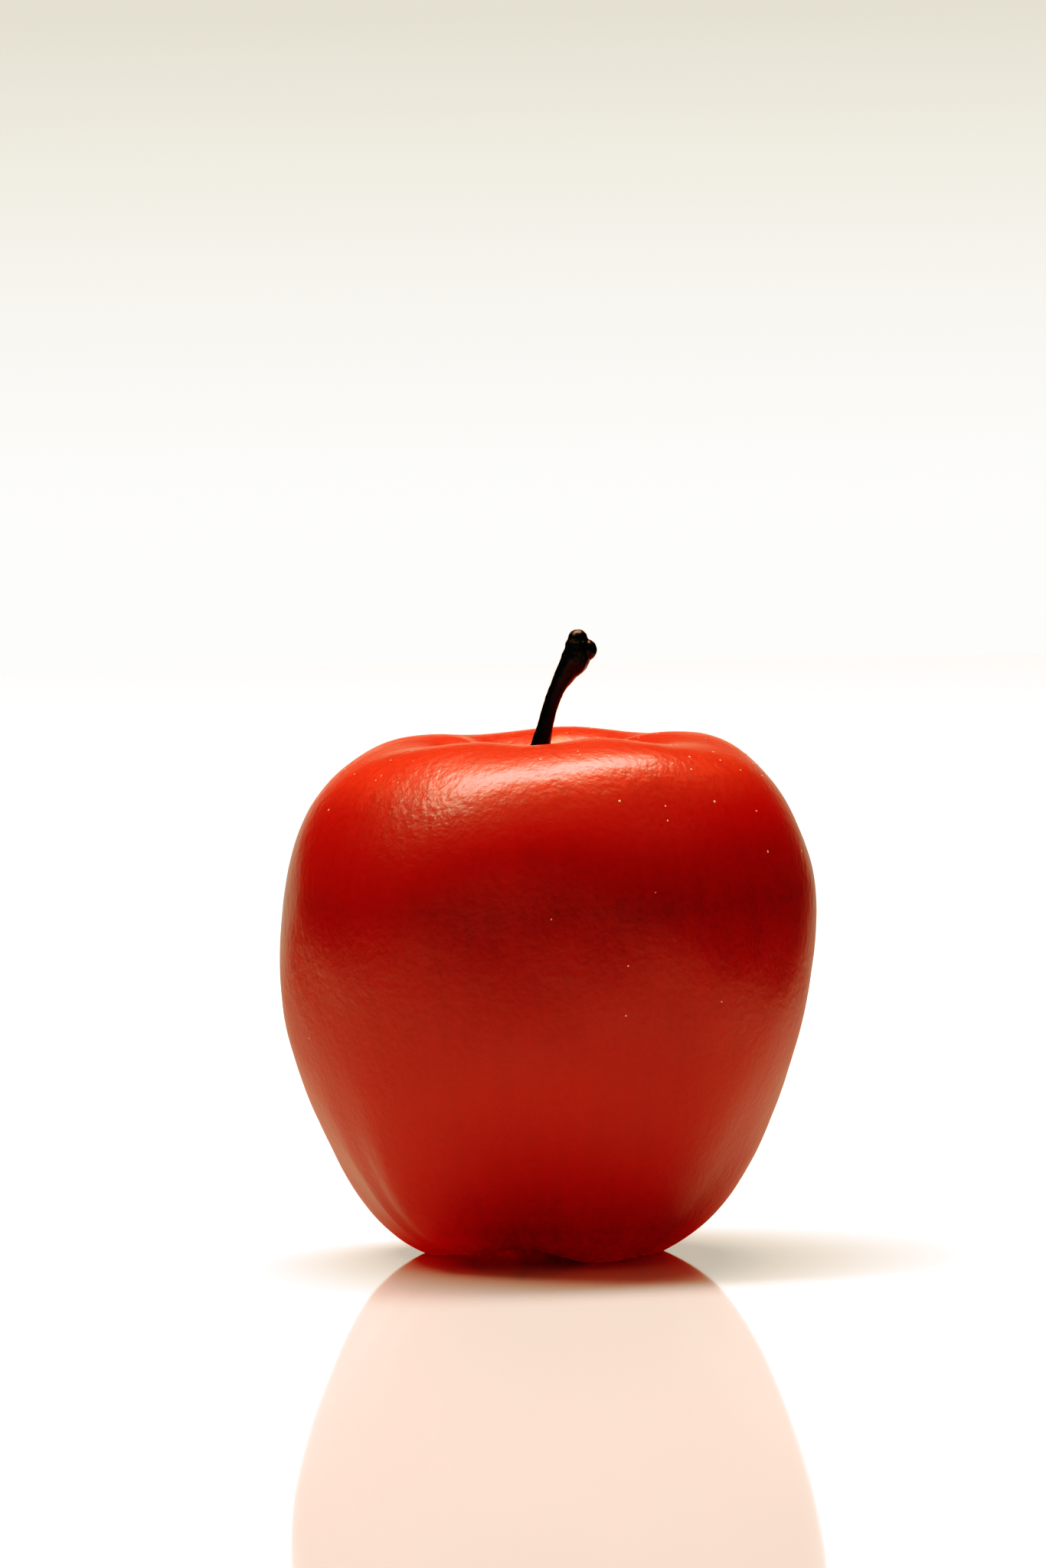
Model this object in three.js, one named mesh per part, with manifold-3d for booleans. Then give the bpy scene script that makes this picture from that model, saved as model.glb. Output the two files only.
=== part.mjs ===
// Whole red apple of the tall, five-lobed dessert kind, with its stem and dried calyx.
// Millimetres. +Z is up from the blossom end to the stem, +X is right, the front is -Y.
// The fruit stands on its own foot lobes, so z = 0 is the surface it rests on.

import * as THREE from "three";
import { NURBSCurve } from "three/addons/curves/NURBSCurve.js";
import { mergeVertices } from "three/addons/utils/BufferGeometryUtils.js";
import Module from "manifold-3d";

const wasm = await Module();
wasm.setup();

// ---------- fruit ----------

// Half outline of the fruit, from the floor of the stem cavity, over the crown and down the side to
// the floor of the blossom basin. Each row is a control point of one smooth curve: its radius and
// height half way between a lobe and a valley, then how far a lobe stands out and up from there.
const outline = [
  [0, 60.3, 0, 0], // floor of the stem cavity
  [3.5, 60.3, 0, 0],
  [6.5, 64.0, 0, 0],
  [8.7, 70.5, -0.6, 1.2], // cavity wall
  [13.9, 73.5, -0.7, 0.6],
  [20.9, 73.8, -0.3, 0.3], // crown
  [28.4, 72.0, -0.8, 0.6],
  [35.2, 63.1, -0.5, -0.5], // shoulder
  [37.9, 54.0, 0.8, 0.4],
  [38.4, 42.6, 0.3, 0.1], // widest part
  [36.6, 30.8, -0.4, 0.2],
  [31.7, 17.4, 0.9, -0.3],
  [25.5, 6.5, 1.3, -0.9], // taper to the feet
  [18.2, 0.1, 0.1, -0.3],
  [12.2, -1.1, -0.3, -0.6], // foot, below the floor so that it is cut flat
  [8.3, 3.6, 0, 0], // basin wall
  [5.0, 8.3, 0, 0],
  [0, 8.5, 0, 0], // floor of the blossom basin
];
const lobeCount = 5;
const lobeAzimuth = 12; // degrees from +X to the first lobe
const lean = 0.036; // sideways shift to +X for each millimetre of height
const leanPivot = 37;
const cavityShift = -1.6; // the stem cavity sits this far off the middle of the crown
const cavityReach = 17; // radius at which that shift has faded out
const footLift = 2.3; // the front of the base stands clear of the floor, one foot with it
const footLiftAzimuth = 247;
const footLiftSpread = 5; // larger is narrower
const footLiftHeight = 25;
const footRadius = 12;
const rimLift = 1.45; // the front of the crown is fuller than the rest of it
const rimLiftAzimuth = 271;
const rimLiftSpread = 9;
const rimInside = 9;
const rimOutside = 38;
const fruitAround = 70;
const fruitAlong = 42;

// ---------- stem ----------

// centre line of the stem: x, height, radius
const stemLine = [
  [-1.4, 57.8, 1.5], // root, inside its socket
  [-1.4, 62.0, 1.5],
  [-0.8, 67.5, 1.45],
  [0.05, 73.0, 1.32],
  [0.65, 75.5, 1.1],
  [1.35, 78.0, 1.02], // thinnest
  [2.55, 81.0, 1.16],
  [3.75, 83.1, 1.53],
  [4.85, 84.7, 1.97], // flares into the knobs
  [5.5, 86.0, 1.95],
  [5.4, 87.2, 1.65],
];
const upperKnob = { x: 5.5, z: 87.8, radius: 1.37 };
const lowerKnob = { x: 6.6, z: 86.2, radius: 1.55 };
const stemAround = 18;
const stemAlong = 22;
const knobRings = 10;
const socketGap = 0.3;
const socketFloor = 57.4;
const socketTop = 66;

// ---------- calyx ----------

const sepalCount = 5;
const sepalAzimuth = 47; // degrees from +X to the first sepal
const sepalLength = 6;
const sepalWidth = 3.2;
const sepalThickness = 0.5;
const sepalRootRadius = 3.3;
const sepalRootHeight = 7.75;
const sepalStartAngle = 20; // degrees below level where it leaves the basin floor
const sepalCurl = 75; // degrees more by the tip
const tuftHeight = 7.9;
const tuftRadius = 1.3;
const tuftThickness = 0.7;
const stamenCount = 9;
const stamenLength = 3.2;
const stamenRadius = 0.22;
const stamenSplay = 22; // degrees from straight down

const red = new THREE.MeshStandardMaterial({ color: 0x8f1209, roughness: 0.35 });
const darkBrown = new THREE.MeshStandardMaterial({ color: 0x24130c, roughness: 0.7 });
const dryBrown = new THREE.MeshStandardMaterial({ color: 0x5a4630, roughness: 0.85 });
const palerBrown = new THREE.MeshStandardMaterial({ color: 0x6e5a3c, roughness: 0.85 });

const degrees = Math.PI / 180;

// A smooth closed-end curve through the plane: x is a radius, y a height.
function smoothCurve(points) {
  const degree = 3;
  const spans = points.length - degree;
  const knots = [];
  for (let i = 0; i < points.length + degree + 1; i++) {
    knots.push(THREE.MathUtils.clamp((i - degree) / spans, 0, 1));
  }
  const controls = points.map(([x, y]) => new THREE.Vector4(x, y, 0, 1));
  return new NURBSCurve(degree, knots, controls);
}

// Keeps only positions and welds them, so that seams and poles close without slivers.
function weld(geometry) {
  geometry.deleteAttribute("normal");
  geometry.deleteAttribute("uv");
  const welded = mergeVertices(geometry, 1e-4);
  const corners = Array.from(welded.index.array);
  const kept = [];
  for (let i = 0; i < corners.length; i += 3) {
    const [a, b, c] = corners.slice(i, i + 3);
    if (a !== b && b !== c && c !== a) {
      kept.push(a, b, c);
    }
  }
  welded.setIndex(kept);
  return welded;
}

function toSolid(geometry) {
  const welded = weld(geometry);
  return new wasm.Manifold(
    new wasm.Mesh({
      numProp: 3,
      vertProperties: new Float32Array(welded.attributes.position.array),
      triVerts: new Uint32Array(welded.index.array),
    }),
  );
}

function toGeometry(solid) {
  const mesh = solid.getMesh();
  const geometry = new THREE.BufferGeometry();
  geometry.setAttribute("position", new THREE.BufferAttribute(mesh.vertProperties, 3));
  geometry.setIndex(new THREE.BufferAttribute(mesh.triVerts, 1));
  geometry.computeVertexNormals();
  return geometry;
}

function fade(value, reach) {
  return THREE.MathUtils.clamp(1 - value / reach, 0, 1);
}

// A lathe is turned about +Z and each of its points handed to place(azimuth, row, point).
function turnedSolid(profile, around, place) {
  const geometry = new THREE.LatheGeometry(profile, around);
  geometry.rotateX(Math.PI / 2);
  const position = geometry.attributes.position;
  const point = new THREE.Vector3();
  for (let i = 0; i < position.count; i++) {
    const row = i % profile.length;
    const column = Math.floor(i / profile.length) % around;
    point.fromBufferAttribute(position, i);
    place((column / around) * Math.PI * 2 - Math.PI / 2, row, point);
    position.setXYZ(i, point.x, point.y, point.z);
  }
  return toSolid(geometry);
}

// How much of the rim lift a place on the skin gets: all of it on the front rim of the cavity.
function crownFullness(azimuth, radius, height) {
  if (height < leanPivot) {
    return 0;
  }
  const facing = (1 + Math.cos(azimuth - rimLiftAzimuth * degrees)) / 2;
  const fromCavity = THREE.MathUtils.smoothstep(radius, 3, rimInside);
  const toShoulder = 1 - THREE.MathUtils.smoothstep(radius, rimInside, rimOutside);
  return facing ** rimLiftSpread * fromCavity * toShoulder;
}

// Fruit skin: the outline swept round, swelling into five lobes, leaning a little, feet cut flat.
function fruit() {
  const middle = smoothCurve(outline);
  const lobe = smoothCurve(outline.map(([r, z, outward, up]) => [r + outward, z + up]));
  const steps = Array.from({ length: fruitAlong + 1 }, (_, i) => 1 - i / fruitAlong);
  const profile = steps.map((t) => {
    const { x, y } = middle.getPoint(t);
    return new THREE.Vector2(Math.max(x, 0), y);
  });
  const swell = steps.map((t) => lobe.getPoint(t).sub(middle.getPoint(t)));

  return turnedSolid(profile, fruitAround, (azimuth, row, point) => {
    const { x: meanRadius, y: meanHeight } = profile[row];
    const wave = Math.cos(lobeCount * (azimuth - lobeAzimuth * degrees));
    const radius = meanRadius + swell[row].x * wave;
    const facing = (1 + Math.cos(azimuth - footLiftAzimuth * degrees)) / 2;
    const nearFoot = fade(Math.max(meanHeight, 0), footLiftHeight) ** 2;
    const offAxis = Math.min(meanRadius / footRadius, 1);
    const lifted = footLift * facing ** footLiftSpread * nearFoot * offAxis;
    const fuller = rimLift * crownFullness(azimuth, meanRadius, meanHeight);
    const height = meanHeight + swell[row].y * wave + lifted + fuller;
    point.set(radius * Math.cos(azimuth), radius * Math.sin(azimuth), Math.max(height, 0));
    point.x += lean * (height - leanPivot);
    if (meanHeight > leanPivot) {
      point.x += cavityShift * fade(meanRadius, cavityReach) ** 0.5;
    }
  });
}

// Blind hole in the floor of the stem cavity that the stem's root stands in.
function socket() {
  const radius = stemLine[0][2] + socketGap;
  const height = socketTop - socketFloor;
  const hole = new THREE.CylinderGeometry(radius, radius, height, 24);
  hole.rotateX(Math.PI / 2);
  hole.translate(stemLine[0][0], 0, socketFloor + height / 2);
  return toSolid(hole);
}

// Round shaft along the stem's centre line, its radius following the table.
function stemShaft() {
  const line = new THREE.CatmullRomCurve3(stemLine.map(([x, z]) => new THREE.Vector3(x, 0, z)));
  const girth = new THREE.CatmullRomCurve3(stemLine.map(([, , r], i) => new THREE.Vector3(i, r, 0)));
  const profile = [new THREE.Vector2(0, 0)];
  for (let i = 0; i <= stemAlong; i++) {
    profile.push(new THREE.Vector2(girth.getPoint(i / stemAlong).y, i));
  }
  profile.push(new THREE.Vector2(0, stemAlong));

  const across = new THREE.Vector3(0, 1, 0);
  return turnedSolid(profile, stemAround, (azimuth, row, point) => {
    const t = THREE.MathUtils.clamp((row - 1) / stemAlong, 0, 1);
    const side = new THREE.Vector3().crossVectors(across, line.getTangent(t));
    const { x: radius } = profile[row];
    line.getPoint(t, point);
    point.addScaledVector(side, radius * Math.cos(azimuth));
    point.addScaledVector(across, radius * Math.sin(azimuth));
  });
}

function knob({ x, z, radius }) {
  const ball = new THREE.SphereGeometry(radius, stemAround, knobRings);
  ball.translate(x, 0, z);
  return toSolid(ball);
}

// Dried calyx lobe: a pointed leaf, thin all over, that curls down out of the basin.
function sepal(index) {
  const leaf = new THREE.Shape();
  leaf.moveTo(0, -sepalWidth * 0.36);
  leaf.quadraticCurveTo(sepalLength * 0.5, -sepalWidth * 0.75, sepalLength, -0.15);
  leaf.lineTo(sepalLength, 0.15);
  leaf.quadraticCurveTo(sepalLength * 0.5, sepalWidth * 0.75, 0, sepalWidth * 0.36);
  leaf.closePath();
  const geometry = new THREE.ExtrudeGeometry(leaf, {
    depth: sepalThickness,
    bevelEnabled: false,
    curveSegments: 8,
  });
  const position = geometry.attributes.position;
  const curl = sepalCurl * degrees;
  const bendRadius = sepalLength / curl;
  for (let i = 0; i < position.count; i++) {
    const angle = (position.getX(i) / sepalLength) * curl;
    const reach = bendRadius + position.getZ(i) - sepalThickness;
    position.setX(i, reach * Math.sin(angle));
    position.setZ(i, reach * Math.cos(angle) - bendRadius);
  }
  geometry.rotateY(sepalStartAngle * degrees);
  geometry.translate(sepalRootRadius, 0, sepalRootHeight);
  geometry.rotateZ((sepalAzimuth + (index * 360) / sepalCount) * degrees);
  return toSolid(geometry);
}

// Tuft of dried stamens on one small pad in the middle of the basin.
function stamens() {
  const pad = new THREE.CylinderGeometry(tuftRadius, tuftRadius, tuftThickness, 20);
  pad.rotateX(Math.PI / 2);
  pad.translate(0, 0, tuftHeight - tuftThickness / 2);
  let tuft = toSolid(pad);
  for (let i = 0; i < stamenCount; i++) {
    const turn = (i / stamenCount) * Math.PI * 2;
    const thread = new THREE.CylinderGeometry(stamenRadius, stamenRadius, stamenLength, 8);
    thread.rotateX(Math.PI / 2);
    thread.translate(0, 0, -stamenLength / 2);
    thread.rotateY(-stamenSplay * degrees);
    thread.translate(tuftRadius * 0.6, 0, tuftHeight - tuftThickness / 2);
    thread.rotateZ(turn);
    tuft = tuft.add(toSolid(thread));
  }
  return tuft;
}

function addPiece(group, name, solid, material) {
  const mesh = new THREE.Mesh(toGeometry(solid), material);
  mesh.name = name;
  group.add(mesh);
}

const group = new THREE.Group();
const calyxShift = [-lean * (leanPivot - sepalRootHeight), 0, 0];
addPiece(group, "apple_body", fruit().subtract(socket()), red);
addPiece(group, "stem", stemShaft().add(knob(upperKnob)).add(knob(lowerKnob)), darkBrown);
for (let i = 0; i < sepalCount; i++) {
  addPiece(group, `sepal_${i + 1}`, sepal(i).translate(calyxShift), dryBrown);
}
addPiece(group, "stamens", stamens().translate(calyxShift), palerBrown);

// the frame's origin is on the floor, under the middle of the whole apple
const middle = new THREE.Box3().setFromObject(group).getCenter(new THREE.Vector3());
for (const mesh of group.children) {
  mesh.geometry.translate(-middle.x, -middle.y, 0);
}

export default group;
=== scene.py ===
import math
import random
import bmesh
import bpy
from mathutils import Matrix, Vector, noise


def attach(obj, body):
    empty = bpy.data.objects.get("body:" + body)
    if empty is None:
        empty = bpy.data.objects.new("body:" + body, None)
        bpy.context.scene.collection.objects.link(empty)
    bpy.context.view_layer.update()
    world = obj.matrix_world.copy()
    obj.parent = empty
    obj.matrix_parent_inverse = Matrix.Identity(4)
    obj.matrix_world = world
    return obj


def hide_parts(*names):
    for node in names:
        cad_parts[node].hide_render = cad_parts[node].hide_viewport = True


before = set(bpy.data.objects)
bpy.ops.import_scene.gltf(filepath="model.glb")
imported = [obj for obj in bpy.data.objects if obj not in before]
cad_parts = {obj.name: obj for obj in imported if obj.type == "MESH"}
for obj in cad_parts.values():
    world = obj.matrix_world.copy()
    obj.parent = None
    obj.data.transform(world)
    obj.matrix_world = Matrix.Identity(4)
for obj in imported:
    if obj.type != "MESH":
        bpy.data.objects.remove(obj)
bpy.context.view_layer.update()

mm = 0.001
# the sketch axis of the fruit lies this far left and front of the middle of its box
sketchShift = Vector((-0.54 * mm, -0.36 * mm, 0))
scene = bpy.context.scene


def srgb(hexCode):
    # '#rrggbb' as seen on screen, to the linear values that shaders want
    values = [int(hexCode[i:i + 2], 16) / 255 for i in (1, 3, 5)]
    return [v / 12.92 if v < 0.04045 else ((v + 0.055) / 1.055) ** 2.4 for v in values] + [1]


def addNode(tree, kind, settings=None, inputs=None):
    # inputs: socket name or number -> a value, or another node's output to link
    node = tree.nodes.new(kind)
    for name, value in (settings or {}).items():
        setattr(node, name, value)
    for key, value in (inputs or {}).items():
        if isinstance(value, bpy.types.NodeSocket):
            tree.links.new(value, node.inputs[key])
        else:
            node.inputs[key].default_value = value
    return node


def newMaterial(name):
    material = bpy.data.materials.new(name)
    material.use_nodes = True
    material.node_tree.nodes.clear()
    return material, material.node_tree


def linkObject(name, data):
    made = bpy.data.objects.new(name, data)
    scene.collection.objects.link(made)
    return made


def evaluatedMesh(made):
    # the object's mesh with its modifiers applied
    graph = bpy.context.evaluated_depsgraph_get()
    return bpy.data.meshes.new_from_object(made.evaluated_get(graph))


def dress(mesh, material):
    for face in mesh.polygons:
        face.use_smooth = True
    mesh.materials.clear()
    mesh.materials.append(material)


def newTree(name, sizes):
    # a Geometry Nodes tree with one named input for each size
    tree = bpy.data.node_groups.new(name, "GeometryNodeTree")
    tree.interface.new_socket("Geometry", in_out="INPUT", socket_type="NodeSocketGeometry")
    tree.interface.new_socket("Geometry", in_out="OUTPUT", socket_type="NodeSocketGeometry")
    kinds = {int: "NodeSocketInt", float: "NodeSocketFloat",
             bpy.types.Material: "NodeSocketMaterial"}
    for key, value in sizes.items():
        tree.interface.new_socket(key, in_out="INPUT", socket_type=kinds[type(value)])
    return tree, addNode(tree, "NodeGroupInput").outputs


def grow(source, tree, sizes, name):
    # runs the tree on an object and keeps the result as a plain mesh object
    modifier = source.modifiers.new(tree.name, "NODES")
    modifier.node_group = tree
    for item in tree.interface.items_tree:
        if item.in_out == "INPUT" and item.name in sizes:
            modifier[item.identifier] = sizes[item.name]
    mesh = evaluatedMesh(source)
    source.modifiers.remove(modifier)
    mesh.name = name
    return linkObject(name, mesh)


print("camera")
cameraView = {
    "position": (-0.5, -1991.8, 222.3),
    "aim": (-3.2, -0.4, 67.3),
    "roll": 1.03,  # degrees that the camera is held off level
    "lens": 322.4,
    "film": 36,
    "clip": (0.05, 50),  # metres
}


def placeCamera(view):
    camera = linkObject("camera", bpy.data.cameras.new("camera"))
    camera.data.lens = view["lens"]
    camera.data.sensor_width = view["film"]
    camera.data.clip_start, camera.data.clip_end = view["clip"]
    position = Vector(view["position"]) * mm
    look = (Vector(view["aim"]) * mm - position).to_track_quat("-Z", "Y").to_matrix().to_4x4()
    roll = Matrix.Rotation(-math.radians(view["roll"]), 4, "Z")
    camera.matrix_world = Matrix.Translation(position) @ look @ roll
    scene.camera = camera


# light that reaches the film -> light that it shows, for red, green and blue: deep shadows close
# up, and the middle tones are warm, as on slide film
toneCurves = [
    [(0, 0), (0.015, 0.004), (0.06, 0.08), (0.12, 0.22), (0.2, 0.33), (0.3, 0.42), (0.45, 0.51),
     (0.6, 0.62), (0.75, 0.79), (1, 1)],
    [(0, 0), (0.02, 0.005), (0.08, 0.05), (0.2, 0.185), (0.5, 0.49), (0.75, 0.755), (1, 1)],
    [(0, 0), (0.02, 0.0025), (0.05, 0.0095), (0.08, 0.023), (0.2, 0.105), (0.5, 0.40),
     (0.75, 0.65), (1, 1)],
]


def setTone(curves):
    view = scene.view_settings
    view.view_transform = "Standard"
    view.use_curve_mapping = True
    mapping = view.curve_mapping
    for curve, points in zip(mapping.curves, curves):
        for x, y in points[1:-1]:
            curve.points.new(x, y)
    mapping.update()


placeCamera(cameraView)
setTone(toneCurves)

print("materials")
# sizes and heights in mm
skinLook = {
    # ground colour by height over the floor, partly the skin's own red and partly painted light:
    # painted light on the crown and at the base, and painted shade above the middle
    "redWithPaintedLight": [(0.0, "#fa240c"), (3.0, "#cc170b"), (5.5, "#a21206"), (9.0, "#900e06"),
                 (25.0, "#921106"), (34.0, "#880f08"), (44.0, "#7c0e08"), (52.0, "#70120c"),
                 (60.0, "#8a1812"), (65.0, "#a62018"), (70.0, "#c03424")],
    "crown": 75,  # height where that scale ends
    "middle": 40,  # height that parts the stem cavity from the blossom basin
    "blush": "#b02008",  # slow patches drift towards this
    "blushShare": 0.1,
    "fleckShade": "#ece6e2",  # flecks and streaks darken the ground colour by this much
    "streakShade": "#f1ece9",
    "speckPale": "#eab8a0",
    "cavityGreen": "#a08a48",  # russet and green where leaves and stem kept the light off
    "basinGreen": "#a8662c",
    "cavityRays": (8, 12),  # how far from the axis its ragged edge reaches
    "cavityEdge": (-2.5, 3),  # and how softly it ends, outside and inside that reach
    "basinEdge": (-2.5, 4),
    "cavityTop": (77, 71),  # heights between which it fades in
    "rayCount": 7.0,
    "streakCount": 19.0,
    "patchSize": 16.0,
    "fleckSize": 0.9,
    "peelSize": 1.3,  # real orange peel on a waxed apple is about this wide
    "peelDepth": 0.1,
    "crinkleSize": 0.6,
    "crinkleDepth": 0.03,
    "roughness": 0.28,
    "roughnessLow": 0.44,  # there is less wax on the lower half
    "waxLine": (30, 50),  # heights between which the wax thickens
    "patchDulls": 0.08,
    "cavityDulls": 0.3,
    "speckRoughness": 0.6,
    "glowDepth": 40.0,  # red light travels this far inside wax and flesh
}


def waxedAppleSkin(look):
    # waxed, fully red skin: thin clear wax over anthocyanin red gives deep colour with a soft sheen
    material, tree = newMaterial("waxedAppleSkin")
    place = addNode(tree, "ShaderNodeTexCoord").outputs["Object"]
    axes = addNode(tree, "ShaderNodeSeparateXYZ", inputs={0: place}).outputs
    across = addNode(tree, "ShaderNodeVectorMath", {"operation": "MULTIPLY"},
                     {0: place, 1: (1, 1, 0)})
    fromAxis = addNode(tree, "ShaderNodeVectorMath", {"operation": "LENGTH"},
                       {0: across.outputs[0]})
    radius = fromAxis.outputs["Value"]
    # direction round the fruit, with height squeezed: noise on it makes streaks from stem to calyx
    around = addNode(tree, "ShaderNodeVectorMath", {"operation": "NORMALIZE"},
                     {0: across.outputs[0]})
    squeezed = addNode(tree, "ShaderNodeMath", {"operation": "MULTIPLY"}, {0: axes["Z"], 1: 4.0})
    lifted = addNode(tree, "ShaderNodeCombineXYZ", inputs={2: squeezed.outputs[0]})
    streakPlace = addNode(tree, "ShaderNodeVectorMath", {"operation": "ADD"},
                          {0: around.outputs[0], 1: lifted.outputs[0]})

    patches = addNode(tree, "ShaderNodeTexNoise", None,
                      {"Vector": place, "Scale": 1 / (look["patchSize"] * mm), "Detail": 3.0})
    rise = addNode(tree, "ShaderNodeMapRange", None,
                   {0: axes["Z"], 1: 0.0, 2: look["crown"] * mm})
    # red by height: the skin's own red, with painted light on the crown and base and painted shade
    # above the middle
    heightRedAndPaintedLight = addNode(tree, "ShaderNodeValToRGB", None, {0: rise.outputs[0]})
    stops = heightRedAndPaintedLight.color_ramp.elements
    while len(stops) < len(look["redWithPaintedLight"]):
        stops.new(0.5)
    for stop, (height, hexCode) in zip(stops, look["redWithPaintedLight"]):
        stop.position = height / look["crown"]
        stop.color = srgb(hexCode)
    patchMix = addNode(tree, "ShaderNodeMapRange", None,
                       {0: patches.outputs[0], 1: 0.4, 2: 0.7, 3: 0.0, 4: look["blushShare"]})
    red = addNode(tree, "ShaderNodeMix", {"data_type": "RGBA"},
                  {0: patchMix.outputs[0], 6: heightRedAndPaintedLight.outputs[0], 7: srgb(look["blush"])})
    streaks = addNode(tree, "ShaderNodeTexNoise", None,
                      {"Vector": streakPlace.outputs[0], "Scale": look["streakCount"],
                       "Detail": 4.0, "Roughness": 0.6})
    streakMix = addNode(tree, "ShaderNodeMapRange", None,
                        {0: streaks.outputs[0], 1: 0.4, 2: 0.75})
    streaked = addNode(tree, "ShaderNodeMix", {"data_type": "RGBA", "blend_type": "MULTIPLY"},
                       {0: streakMix.outputs[0], 6: red.outputs[2], 7: srgb(look["streakShade"])})
    flecks = addNode(tree, "ShaderNodeTexNoise", None,
                     {"Vector": place, "Scale": 1 / (look["fleckSize"] * mm), "Detail": 2.0})
    fleckMix = addNode(tree, "ShaderNodeMapRange", None,
                       {0: flecks.outputs[0], 1: 0.4, 2: 0.75})
    flecked = addNode(tree, "ShaderNodeMix", {"data_type": "RGBA", "blend_type": "MULTIPLY"},
                      {0: fleckMix.outputs[0], 6: streaked.outputs[2], 7: srgb(look["fleckShade"])})

    # stem cavity: near the axis and high up, with ragged rays that run out over its wall
    rays = addNode(tree, "ShaderNodeTexNoise", None,
                   {"Vector": streakPlace.outputs[0], "Scale": look["rayCount"],
                    "Detail": 5.0, "Roughness": 0.65})
    shortRay, longRay = look["cavityRays"]
    rayReach = addNode(tree, "ShaderNodeMapRange", {"clamp": False},
                       {0: rays.outputs[0], 1: 0.3, 2: 0.7, 3: shortRay * mm, 4: longRay * mm})
    inside = addNode(tree, "ShaderNodeMath", {"operation": "SUBTRACT"},
                     {0: rayReach.outputs[0], 1: radius})
    outer, inner = look["cavityEdge"]
    insideSoft = addNode(tree, "ShaderNodeMapRange", None,
                         {0: inside.outputs[0], 1: outer * mm, 2: inner * mm})
    top, bottom = look["cavityTop"]
    high = addNode(tree, "ShaderNodeMapRange", None, {0: axes["Z"], 1: top * mm, 2: bottom * mm})
    upper = addNode(tree, "ShaderNodeMath", {"operation": "GREATER_THAN"},
                    {0: axes["Z"], 1: look["middle"] * mm})
    belowRim = addNode(tree, "ShaderNodeMath", {"operation": "MULTIPLY"},
                       {0: insideSoft.outputs[0], 1: high.outputs[0]})
    cavity = addNode(tree, "ShaderNodeMath", {"operation": "MULTIPLY"},
                     {0: belowRim.outputs[0], 1: upper.outputs[0]})
    russeted = addNode(tree, "ShaderNodeMix", {"data_type": "RGBA"},
                       {0: cavity.outputs[0], 6: flecked.outputs[2], 7: srgb(look["cavityGreen"])})
    # blossom basin: the same reach on the lower half, and browner
    lower = addNode(tree, "ShaderNodeMath", {"operation": "SUBTRACT"},
                    {0: 1.0, 1: upper.outputs[0]})
    outer, inner = look["basinEdge"]
    basinSoft = addNode(tree, "ShaderNodeMapRange", None,
                        {0: inside.outputs[0], 1: outer * mm, 2: inner * mm})
    basin = addNode(tree, "ShaderNodeMath", {"operation": "MULTIPLY"},
                    {0: basinSoft.outputs[0], 1: lower.outputs[0]})
    skin = addNode(tree, "ShaderNodeMix", {"data_type": "RGBA"},
                   {0: basin.outputs[0], 6: russeted.outputs[2], 7: srgb(look["basinGreen"])})

    # wax over the skin's cells: a broad peel texture and a finer crinkle
    peel = addNode(tree, "ShaderNodeTexNoise", None,
                   {"Vector": place, "Scale": 1 / (look["peelSize"] * mm), "Detail": 2.0})
    crinkle = addNode(tree, "ShaderNodeTexNoise", None,
                      {"Vector": place, "Scale": 1 / (look["crinkleSize"] * mm), "Detail": 2.0})
    peelBump = addNode(tree, "ShaderNodeBump", None,
                       {"Height": peel.outputs[0], "Distance": look["peelDepth"] * mm,
                        "Strength": 1.0})
    skinBump = addNode(tree, "ShaderNodeBump", None,
                       {"Height": crinkle.outputs[0], "Distance": look["crinkleDepth"] * mm,
                        "Strength": 1.0, "Normal": peelBump.outputs[0]})
    thinWax, fullWax = look["waxLine"]
    polish = addNode(tree, "ShaderNodeMapRange", None,
                     {0: axes["Z"], 1: thinWax * mm, 2: fullWax * mm,
                      3: look["roughnessLow"], 4: look["roughness"]})
    sheen = addNode(tree, "ShaderNodeMath", {"operation": "MULTIPLY_ADD"},
                    {0: patches.outputs[0], 1: look["patchDulls"], 2: polish.outputs[0]})
    rough = addNode(tree, "ShaderNodeMath", {"operation": "MULTIPLY_ADD"},
                    {0: cavity.outputs[0], 1: look["cavityDulls"], 2: sheen.outputs[0]})
    shader = addNode(tree, "ShaderNodeBsdfPrincipled", None,
                     {"Base Color": skin.outputs[2], "Roughness": rough.outputs[0], "IOR": 1.4,
                      "Subsurface Weight": 1.0, "Subsurface Scale": look["glowDepth"] * mm,
                      "Subsurface Radius": (1.0, 0.12, 0.06), "Normal": skinBump.outputs[0]})
    addNode(tree, "ShaderNodeOutputMaterial", None, {"Surface": shader.outputs[0]})
    return material


def lenticelCork(look):
    # corky pores in the skin: pale, dry and matt
    material, tree = newMaterial("paleLenticelCork")
    shader = addNode(tree, "ShaderNodeBsdfPrincipled", None,
                     {"Base Color": srgb(look["speckPale"]), "Roughness": look["speckRoughness"]})
    addNode(tree, "ShaderNodeOutputMaterial", None, {"Surface": shader.outputs[0]})
    return material


# fibre: how wide and how deep the fibres are, in mm
barkLooks = {
    "driedStemBark": {"dark": "#020101", "light": "#0a0504", "fibre": (0.5, 0.06),
                      "roughness": 0.38},
    "driedSepalTissue": {"dark": "#3a2717", "light": "#7c6241", "fibre": (0.35, 0.06),
                         "roughness": 0.85},
    "driedStamenThread": {"dark": "#4a3520", "light": "#8e7348", "fibre": (0.3, 0.06),
                          "roughness": 0.85},
}


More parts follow.
